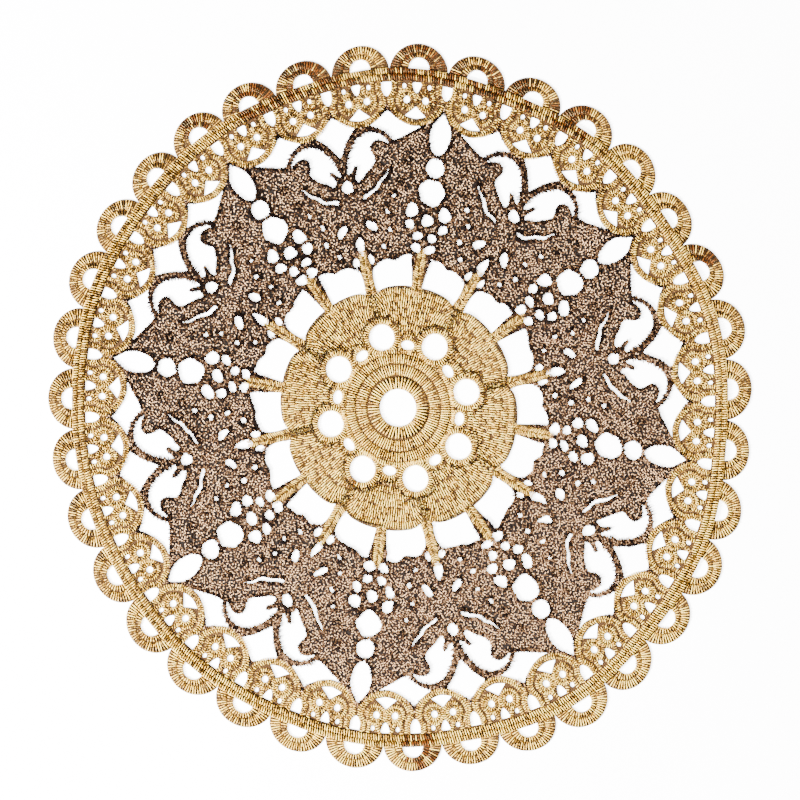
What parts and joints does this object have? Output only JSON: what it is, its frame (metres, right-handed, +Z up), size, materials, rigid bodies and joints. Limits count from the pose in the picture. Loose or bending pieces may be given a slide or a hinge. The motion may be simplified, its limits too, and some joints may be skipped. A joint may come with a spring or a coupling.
{
  "type": "lace placemat",
  "caption": "Round openwork placemat of machine-worked lace: gold medallion with spokes, a ring of brown butterflies, and a scalloped gold edging. Lies flat on a table.",
  "frame": {"origin": "on the resting surface, under the middle of the mat's outline box", "axes": "+Z up, out of the mat's face; +Y to the far side of the mat as it is looked at, along its slightly longer side"},
  "size_m": [0.297, 0.307, 0.002],
  "materials": {
    "gold_thread": "rayon machine embroidery thread in old gold, soft satin shine, with copper patches on the edging",
    "brown_thread": "machine embroidery thread in near-black brown and bronze, mixed stitch by stitch"
  },
  "bodies": {
    "root": {"lace_mat": "gold_thread"}
  },
  "joints": []
}
